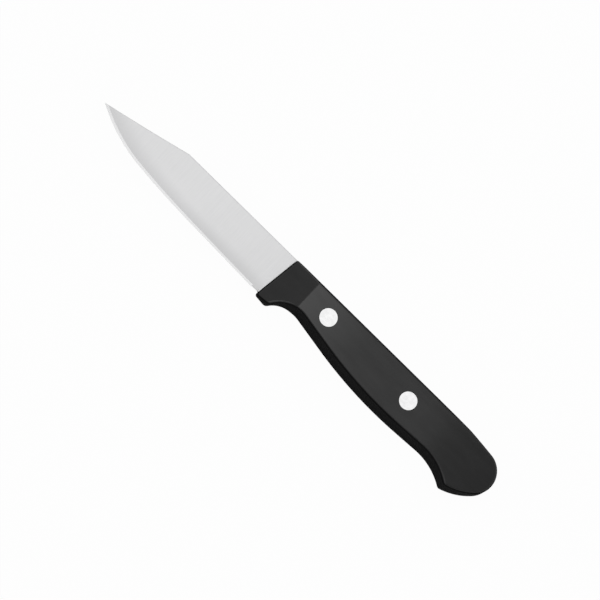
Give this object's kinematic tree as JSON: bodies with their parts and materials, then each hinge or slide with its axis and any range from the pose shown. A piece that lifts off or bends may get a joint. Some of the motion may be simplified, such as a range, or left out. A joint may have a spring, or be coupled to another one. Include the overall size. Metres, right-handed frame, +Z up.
{
  "type": "paring knife",
  "caption": "Small kitchen paring knife with a thin clipped-point blade and a riveted black plastic handle with a finger notch and a beaked butt.",
  "frame": {"origin": "centre of the bounding box at its base: the knife lies on its right side on the surface z = 0", "axes": "+X along the knife from butt to tip, +Y across it from the back to the cutting edge, +Z up, square to the sides of the handle"},
  "size_m": [0.1784, 0.0204, 0.011],
  "materials": {
    "blade_steel": "fine satin, ground across the blade",
    "handle_plastic": "satin moulded and polished",
    "rivet_steel": "ground flush, bright"
  },
  "bodies": {
    "root": {"blade": "blade_steel", "left_scale": "handle_plastic", "right_scale": "handle_plastic", "front_rivet_socket": "rivet_steel", "front_rivet_post": "rivet_steel", "rear_rivet_socket": "rivet_steel", "rear_rivet_post": "rivet_steel"}
  },
  "joints": []
}
